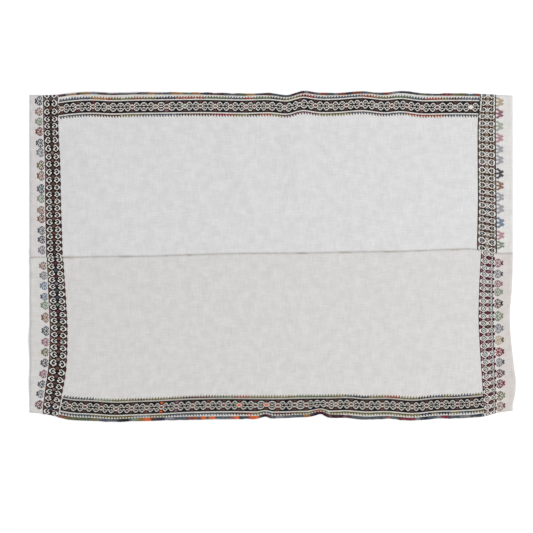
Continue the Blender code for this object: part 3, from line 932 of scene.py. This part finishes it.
# Where the end bands' lozenges lie in y, and the yarn of each one's core
END_LOZENGES = {
    ("upper", "left"): places_and_yarns("""
        0.806 umber, 0.767 umber, 0.723 russet, 0.684 umber, 0.650 umber, 0.616 umber, 0.581 umber,
        0.542 umber, 0.500 clay, 0.461 russet, 0.424 umber, 0.384 russet, 0.345 russet, 0.309 umber,
        0.275 russet, 0.242 clay, 0.207 russet, 0.173 russet, 0.136 russet, 0.101 russet,
        0.069 russet, 0.041 umber, 0.005 umber, -0.030 umber
    """),
    ("upper", "right"): places_and_yarns("""
        0.806 umber, 0.768 clay, 0.731 russet, 0.699 clay, 0.665 umber, 0.629 clay, 0.591 clay,
        0.551 clay, 0.512 russet, 0.476 clay, 0.434 clay, 0.394 umber, 0.357 clay, 0.322 russet,
        0.288 russet, 0.255 russet, 0.221 slate, 0.185 umber, 0.147 russet, 0.111 umber, 0.083 clay,
        0.039 clay, 0.005 umber
    """),
    ("lower", "left"): places_and_yarns("""
        -0.012 umber, -0.048 wine, -0.084 slate, -0.115 wine, -0.150 grey, -0.183 slate,
        -0.218 slate, -0.254 sage, -0.288 wine, -0.319 wine, -0.355 olive, -0.390 russet,
        -0.423 rust, -0.452 russet, -0.487 russet, -0.526 clay, -0.570 russet, -0.609 russet,
        -0.644 umber, -0.675 clay, -0.709 umber, -0.739 clay, -0.772 slate, -0.806 umber
    """),
    ("lower", "right"): places_and_yarns("""
        0.016 wine, -0.020 wine, -0.057 wine, -0.088 mauve, -0.123 wine, -0.159 mauve, -0.189 green,
        -0.220 wine, -0.255 mauve, -0.294 wine, -0.328 mauve, -0.363 green, -0.402 dusty_rose,
        -0.438 mauve, -0.477 wine, -0.519 mauve, -0.554 russet, -0.591 grey, -0.625 mauve,
        -0.661 russet, -0.699 wine, -0.739 russet, -0.776 umber, -0.810 umber
    """),
}


def end_band(panel, end, tree, finish):
    """The brocaded band across one end: lozenges, with horned rings on both sides of each."""
    side, width = SIDES[panel], WIDTHS[panel]
    kind, dark, ring_yarns, corner_yarns = END_STYLES[panel, end]
    rows = round(width / END_CELL)
    vs = side * np.linspace(width, END_STOP, rows + 1)
    west, east = (-END_BAND_OUTER, -END_BAND_INNER) if end == "left" else (END_BAND_INNER, END_BAND_OUTER)
    us = np.linspace(west, east, END_COLUMNS + 1)
    centres = (vs[:-1] + vs[1:]) / 2
    x = laid_x(panel, np.full_like(centres, (west + east) / 2), centres)
    y = laid_y(panel, x, width - abs(centres))
    spots, cores = (np.array(part) for part in zip(*END_LOZENGES[panel, end]))
    place = np.rint(np.interp(-y, -spots, END_REPEAT * np.arange(len(spots)))).astype(int)
    figure = END_CHARTS[kind]
    chart = figure[place % END_REPEAT if len(figure) == END_REPEAT else mirrored(place, END_REPEAT)]
    number = (place + END_REPEAT // 2) // END_REPEAT
    ring = place // END_REPEAT + 1
    corners = random.choice(corner_yarns.split(), number.max() + 2)
    rings = random.choice(ring_yarns.split(), ring.max() + 2)
    forks = random.choice(FORK_YARNS, number.max() + 2)
    by_row = {"o": cores[np.minimum(number, len(spots) - 1)], "p": corners[number],
              "x": rings[ring], "f": forks[number]}
    dyes = {"#": dark, ".": "cream", "w": "maroon"}
    dyes |= {symbol: yarns[:, None] for symbol, yarns in by_row.items()}
    sewn(f"{panel}_{end}_end_band", brocade(panel, chart, us, vs, dyes), tree, panel, Material=finish)


# The flowers: how much of the room between two of them each takes, and in how many steps the flat
# cloth is searched for the line that lies at a flower's place

FLOWER_SHARE = 0.84
SEARCH_STEPS = 400
# The lower right flowers stand with their stems in between the band's last blobs.
STEM_INSET = {("lower", "right"): 0.006}
# Where the flowers stand along each end band in y, and the yarn of each one and of a crown unlike it
FLOWERS = {
    ("upper", "left"): places_and_yarns("""
        0.758 charcoal, 0.706 clay, 0.657 sage, 0.607 russet, 0.550 smoke, 0.503 grey, 0.439 olive,
        0.387 clay russet, 0.322 slate, 0.274 sage, 0.216 clay, 0.173 russet, 0.115 smoke,
        0.070 smoke, 0.018 grey
    """),
    ("lower", "left"): places_and_yarns("""
        -0.060 clay, -0.109 grey, -0.160 grey_blue, -0.214 grey_blue slate, -0.257 sage,
        -0.318 clay russet, -0.384 slate, -0.439 mauve, -0.490 olive, -0.543 smoke, -0.598 mauve,
        -0.649 slate, -0.697 grey slate, -0.751 wine mauve
    """),
    ("upper", "right"): places_and_yarns("""
        0.753 sand, 0.696 mauve, 0.634 pale_sage, 0.575 dusty_rose, 0.519 ash, 0.466 ash,
        0.398 smoke, 0.338 clay, 0.281 ash, 0.224 ash, 0.154 grey_blue, 0.091 dusty_rose, 0.043 sage
    """),
    ("lower", "right"): places_and_yarns("""
        -0.047 mauve wine, -0.101 grey slate, -0.150 mauve, -0.191 sage, -0.248 umber charcoal,
        -0.310 sage, -0.372 grey, -0.430 sand olive, -0.488 crimson wine, -0.540 grey slate,
        -0.595 wine slate, -0.646 wine crimson, -0.706 olive sage, -0.757 clay wine
    """),
}


def flat_v(panel, x, y):
    """The line of the flat cloth that lies at this place."""
    side, width = SIDES[panel], WIDTHS[panel]
    from_edge = np.linspace(0, width, SEARCH_STEPS)
    ys = laid_y(panel, np.full_like(from_edge, x), from_edge)
    return side * (width - np.interp(-side * y, -side * ys, from_edge))


def flowers(panel, end, tree, finish):
    """The row of small flowers that stand on the outer side of an end band."""
    half = FLOWER_CHARTS["lily" if (panel, end) == ("upper", "right") else "clover"]
    chart = np.concatenate((half[:0:-1], half))
    rows, columns = chart.shape
    sign = -1 if end == "left" else 1
    stem = END_BAND_OUTER - STEM_INSET.get((panel, end), 0)
    us = sign * np.linspace(stem, FLOWER_TIP, columns + 1)
    parts = []
    heights = abs(np.gradient([row[0] for row in FLOWERS[panel, end]])) * FLOWER_SHARE
    for (y, yarn, *crown), height in zip(FLOWERS[panel, end], heights):
        outer = through(END_BANDS[panel, end], np.array([y]))[0]
        middle = flat_v(panel, outer + sign * FLOWER_LENGTH / 2, y)
        vs = middle + np.linspace(-height / 2, height / 2, rows + 1)
        parts.append(brocade(panel, chart, us, vs, {"#": yarn, "c": crown[0] if crown else yarn}))
    sewn(f"{panel}_{end}_flowers", gather(parts), tree, panel, Material=finish)


# The rows of slanting dashes, in two colours of soumak, and the plain lines beside them

DASH_PITCH = 0.014
DASH_DEPTH = 0.0165
DASH_SLANT = math.radians(58)
# Where the first dash stands past the end band, as a share of the pitch
FIRST_DASH = 0.3
STRAND_HALF_WIDTH = 0.00145
STRAND_HALF_HEIGHT = 0.0009
# How unevenly the strands start, in metres, and how their lengths spread
STRAND_WANDER = 0.0003
STRAND_SPREAD = (0.9, 1.1)
# A dash's strands: place along the pitch, how far each is dyed from the band side, and its length,
# all as shares. The rest of a strand is cream.
DASH_STRANDS = (
    (0.00, 1.00, 1.00), (0.17, 1.00, 1.00), (0.34, 0.80, 0.85),
    (0.50, 0.55, 1.00), (0.67, 0.40, 1.00), (0.84, 0.45, 0.95),
)
# How far from the selvage each row's band side lies, which way the dashes run from there, and how
# much further than in DASH_STRANDS their colour goes
DASH_ROWS = {"outer": (0.0325, -1, 1.2), "inner": (0.1033, 1, 1.0)}
# The dashes' colours, from the left: x where each run ends, and its yarn
DASH_RUNS = {
    ("upper", "outer"): places_and_yarns("""
        -0.872 slate, -0.807 ochre, -0.777 rust, -0.668 olive, -0.629 rust, -0.559 olive,
        -0.460 navy, -0.321 rust, -0.202 green, -0.128 slate, -0.078 rust, 0.006 green,
        0.066 charcoal, 0.155 olive, 0.224 crimson, 0.452 slate, 0.522 rust, 0.591 olive,
        0.690 green, 0.765 slate, 0.854 rust, 0.884 olive, 0.928 brown, 1.047 slate
    """),
    ("upper", "inner"): places_and_yarns("""
        -0.877 slate, -0.738 brown, -0.629 olive, -0.430 slate, -0.277 brown, -0.192 crimson,
        -0.163 rust, -0.103 olive, -0.044 brown, 0.011 rust, 0.075 olive, 0.244 plum, 0.403 olive,
        0.522 slate, 0.571 plum, 0.680 slate, 0.864 rust, 1.047 slate
    """),
    ("lower", "inner"): places_and_yarns("""
        -0.882 slate, -0.797 sage, -0.678 olive, -0.629 brown, -0.450 olive, -0.277 brown,
        -0.190 green, -0.118 rust, 0.125 olive, 0.294 green, 0.363 olive, 0.403 slate, 0.472 navy,
        0.542 olive, 0.631 rust, 0.715 olive, 0.775 charcoal, 0.839 slate, 0.879 olive, 0.978 slate,
        1.047 olive
    """),
    ("lower", "outer"): places_and_yarns("""
        -0.887 slate, -0.857 olive, -0.837 slate, -0.678 olive, -0.599 grey, -0.525 olive,
        -0.202 slate, -0.123 brown, -0.093 rust, -0.044 olive, 0.006 slate, 0.095 brown,
        0.204 olive, 0.244 rust, 0.725 olive, 0.780 navy, 0.809 olive, 0.869 navy, 0.919 olive,
        0.988 slate, 1.047 olive
    """),
}
# The plain lines: how far from the selvage each lies, and its yarn
PLAIN_LINES = {
    "upper": places_and_yarns("0.0120 cream, 0.0353 cream, 0.1002 cream"),
    "lower": places_and_yarns("0.0353 ecru, 0.1002 hemp"),
}
LINE_PITCH = 0.0042
LINE_HALF_LENGTH = 0.0042
LINE_HALF_WIDTH = 0.0026
LINE_SLANT = math.radians(32)


def runs_at(runs, x):
    """The yarn in use at each place: runs holds where each run ends, and its yarn."""
    ends = np.array([end for end, _ in runs])
    numbers = np.array([YARN_NUMBERS[yarn] for _, yarn in runs])
    return numbers[np.minimum(np.searchsorted(ends, x), len(runs) - 1)]


def straight_stitches(panel, start, end, yarns, half_width):
    """Straight stitches between places of the flat cloth, each given by u and distance from the selvage."""
    side, width = SIDES[panel], WIDTHS[panel]
    u0, edge0, u1, edge1 = np.broadcast_arrays(*start, *end)
    along = (u1 - u0, side * (edge0 - edge1))
    places, turns = on_cloth(panel, (u0 + u1) / 2, side * (width - (edge0 + edge1) / 2), along)
    places[:, 2] += STRAND_HALF_HEIGHT * FLOAT_SINK
    length = np.hypot(*along) / 2
    sizes = np.stack((length, np.full_like(length, half_width),
                      np.full_like(length, STRAND_HALF_HEIGHT)), axis=1)
    return places, turns, sizes, yarns


def dash_rows(panel, tree, finish):
    """Two rows of slanting dashes along one long side, and the plain lines beside them."""
    parts = []
    slant = DASH_DEPTH / math.tan(DASH_SLANT)
    count = int(2 * END_BAND_INNER / DASH_PITCH)
    foot = -END_BAND_INNER + (np.arange(count) + FIRST_DASH) * DASH_PITCH
    for row, (band_side, way, further) in DASH_ROWS.items():
        for share, dyed, length in DASH_STRANDS:
            dyed = min(dyed * further, length)
            u = foot + share * DASH_PITCH + random.normal(0, STRAND_WANDER, count)
            yarns = runs_at(DASH_RUNS[panel, row], u)
            spread = random.uniform(*STRAND_SPREAD, count)
            root, turn, tip = ((u + slant * reach * spread, band_side + way * DASH_DEPTH * reach * spread)
                               for reach in (0, dyed, length))
            parts.append(straight_stitches(panel, root, turn, yarns, STRAND_HALF_WIDTH))
            if length > dyed:
                cream = np.full_like(yarns, YARN_NUMBERS["cream"])
                parts.append(straight_stitches(panel, turn, tip, cream, STRAND_HALF_WIDTH))
    u = np.arange(-END_BAND_INNER + LINE_PITCH, END_BAND_INNER - LINE_PITCH, LINE_PITCH)
    du = LINE_HALF_LENGTH * math.cos(LINE_SLANT)
    dv = LINE_HALF_LENGTH * math.sin(LINE_SLANT)
    for from_edge, yarn in PLAIN_LINES[panel]:
        yarns = np.full(len(u), YARN_NUMBERS[yarn])
        parts.append(straight_stitches(
            panel, (u - du, from_edge - dv), (u + du, from_edge + dv), yarns, LINE_HALF_WIDTH))
    sewn(f"{panel}_dash_rows", gather(parts), tree, panel, Sides=5, Rings=3, Dip=0.8, Material=finish)


# The wool that wraps the selvages

WRAP_PITCH = 0.00215
WRAP_RADIUS = 0.00105
WRAP_HALF_HEIGHT = 0.0014
# How far from the selvage the wraps end, by panel, how far they stand out past it, and how far from
# the end bands they stop
WRAP_ENDS = {"upper": 0.0100, "lower": 0.0130}
WRAP_PROUD = 0.0002
WRAP_STOP = 0.003
# The wraps are fuller in some places than in others, as they were sewn, and unevenly spaced and dyed.
BULGE_LENGTH = 0.030
BULGE = (0.86, 1.14)
WRAP_FULLNESS = (0.96, 1.04)
WRAP_WANDER = 0.0002
DYE_WANDER = 0.002
# The wool's colours, from the left: x where each run ends, and its yarn
WOOL_RUNS = {
    "upper": places_and_yarns("""
        -1.020 maroon, -0.998 grey, -0.971 ochre, -0.946 brown, -0.931 olive, -0.901 ochre,
        -0.864 grey, -0.848 black, -0.817 maroon, -0.797 slate, -0.775 maroon, -0.720 slate,
        -0.698 maroon, -0.678 slate, -0.658 maroon, -0.619 slate, -0.579 ochre, -0.559 slate,
        -0.539 maroon, -0.500 slate, -0.440 ochre, -0.391 green, -0.351 ochre, -0.311 navy,
        -0.232 maroon, -0.172 slate, -0.125 green, -0.078 ochre, -0.053 slate, 0.001 maroon,
        0.105 slate, 0.165 maroon, 0.182 grey, 0.214 maroon, 0.239 slate, 0.274 rust, 0.314 slate,
        0.333 grey, 0.368 rust, 0.408 navy, 0.452 rust, 0.482 slate, 0.519 olive, 0.556 slate,
        0.596 rust, 0.636 grey, 0.735 navy, 0.770 olive, 0.809 slate, 0.849 navy, 0.899 crimson,
        0.963 olive, 1.013 slate, 1.047 rust
    """),
    "lower": places_and_yarns("""
        -1.020 rust, -0.971 olive, -0.896 green, -0.852 olive, -0.763 slate, -0.708 black,
        -0.693 slate, -0.658 sage, -0.629 ochre, -0.599 orange, -0.569 brown, -0.530 navy,
        -0.480 grey, -0.415 slate, -0.361 rust, -0.346 slate, -0.324 orange, -0.306 green,
        -0.277 orange, -0.207 slate, -0.185 rust, -0.158 orange, -0.108 charcoal, -0.061 orange,
        -0.039 charcoal, 0.001 maroon, 0.021 navy, 0.066 grey, 0.160 slate, 0.194 ochre, 0.234 navy,
        0.289 maroon, 0.301 green, 0.398 maroon, 0.571 slate, 0.591 rust, 0.626 slate, 0.646 brown,
        0.715 crimson, 0.740 grey, 0.780 navy, 0.819 slate, 0.844 grey, 0.881 crimson, 0.938 slate,
        0.988 grey, 1.047 navy
    """),
}


def overcasting(panel, tree, finish):
    """Wraps of wool over one selvage, changing dye every few centimetres."""
    side, width = SIDES[panel], WIDTHS[panel]
    reach = END_BAND_INNER - WRAP_STOP
    count = round(2 * reach / WRAP_PITCH)
    u = np.linspace(-reach, reach, count) + random.normal(0, WRAP_WANDER, count)
    v = np.full(count, side * (width - WRAP_ENDS[panel]))
    places, turns = on_cloth(panel, u, v, (side, 0.0))
    places[:, 2] -= CLOTH / 2
    knots = np.arange(-HALF_LENGTH, HALF_LENGTH, BULGE_LENGTH)
    bulge = np.interp(u, knots, random.uniform(*BULGE, len(knots)))
    sizes = np.ones((count, 3)) * (bulge * random.uniform(*WRAP_FULLNESS, count))[:, None]
    sizes[:, 0] = 1.0
    yarns = runs_at(WOOL_RUNS[panel], places[:, 0] + random.normal(0, DYE_WANDER, count))
    made = sewn(f"{panel}_overcasting", (places, turns, sizes, yarns), tree, panel, **{
        "Steps": 7, "Sides": 5, "Yarn Radius": WRAP_RADIUS, "Reach": WRAP_ENDS[panel] + WRAP_PROUD,
        "Half Height": WRAP_HALF_HEIGHT, "Lean": 0.8, "Material": finish})
    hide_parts(f"{panel}_edge_overcasting")


# The middle seam

SEAM_PITCH = 0.009
SEAM_HALF_LENGTH = 0.0055
SEAM_HALF_WIDTH = 0.0006
SEAM_LEAN = 0.35
SEAM_WANDER = 0.0006
# How far on the upper width's side of the seam the stitches have their middle, and how much of their
# half thickness they are lifted
SEAM_SIDE = 0.0008
SEAM_LIFT = 0.5


def seam(tree, finish):
    """Slanting stitches of hemp thread that draw the two loom widths together."""
    u = np.arange(-HALF_LENGTH + SEAM_PITCH, HALF_LENGTH - SEAM_PITCH / 2, SEAM_PITCH)
    u = u + random.normal(0, SEAM_WANDER, len(u))
    places, turns = on_cloth("upper", u, np.full_like(u, SEAM_SIDE), (SEAM_LEAN, 1.0))
    places[:, 2] += SEAM_HALF_WIDTH * SEAM_LIFT
    sizes = np.broadcast_to((SEAM_HALF_LENGTH, SEAM_HALF_WIDTH, SEAM_HALF_WIDTH), (len(u), 3))
    yarns = np.full(len(u), YARN_NUMBERS["ecru"])
    sewn("seam_stitches", (places, turns, sizes, yarns), tree, "upper", slot="hemp_cloth",
         Sides=6, Rings=5, Dip=2.0, Material=finish)


# Camera, light and floor

RUG_PIXELS = 482.7
PICTURE_PIXELS = 533
PICTURE_WIDTH = PICTURE_PIXELS * 2 * HALF_LENGTH / RUG_PIXELS
PICTURE_MIDDLE = (-0.0234, -0.0638)
CAMERA_HEIGHT = 6.0
SENSOR_MM = 36.0
LIGHT_WIDTH = 5.0
LIGHT_WATTS = 850.0
LIGHT_PLACE = (9.5, -0.5, 8.5)
SKY_COLOUR = "#FBFBFD"
SKY_STRENGTH = 0.866
FLOOR_COLOUR = "#F8F8F8"
FLOOR_WIDTH = 40.0


def stage():
    """A long-lens camera straight above, soft light from the right, and a white floor."""
    scene = bpy.context.scene
    camera = bpy.data.objects.new("camera", bpy.data.cameras.new("camera"))
    scene.collection.objects.link(camera)
    camera.location = (PICTURE_MIDDLE[0] + SHIFT[0], PICTURE_MIDDLE[1] + SHIFT[1], CAMERA_HEIGHT)
    camera.data.sensor_width = SENSOR_MM
    camera.data.lens = SENSOR_MM * CAMERA_HEIGHT / PICTURE_WIDTH
    scene.camera = camera

    key = bpy.data.objects.new("key", bpy.data.lights.new("key", "AREA"))
    key.data.shape = "DISK"
    key.data.size = LIGHT_WIDTH
    key.data.energy = LIGHT_WATTS
    key.location = LIGHT_PLACE
    key.rotation_euler = (-key.location).to_track_quat("-Z", "Y").to_euler()
    scene.collection.objects.link(key)

    scene.world = bpy.data.worlds.new("studio")
    scene.world.use_nodes = True
    feed(scene.world.node_tree.nodes["Background"], {"Color": linear(SKY_COLOUR), "Strength": SKY_STRENGTH})
    scene.view_settings.view_transform = "Standard"

    made, _, shader = new_material("matt_white_floor")
    feed(shader, {"Base Color": linear(FLOOR_COLOUR), "Roughness": 0.9})
    bpy.ops.mesh.primitive_plane_add(size=FLOOR_WIDTH)
    floor = bpy.context.object
    floor.name = "floor"
    floor.data.materials.append(made)


def main():
    stage()
    wool = two_ply_wool()
    floats, strands, wraps = float_tree(), strand_tree(), wrap_tree()
    sheets = {panel: cloth(panel, hemp_cloth(panel)) for panel in WIDTHS}
    for panel in WIDTHS:
        side_band(panel, floats, wool)
        for end in ("left", "right"):
            end_band(panel, end, floats, wool)
            flowers(panel, end, floats, wool)
        dash_rows(panel, strands, wool)
        overcasting(panel, wraps, wool)
    seam(strands, wool)


main()
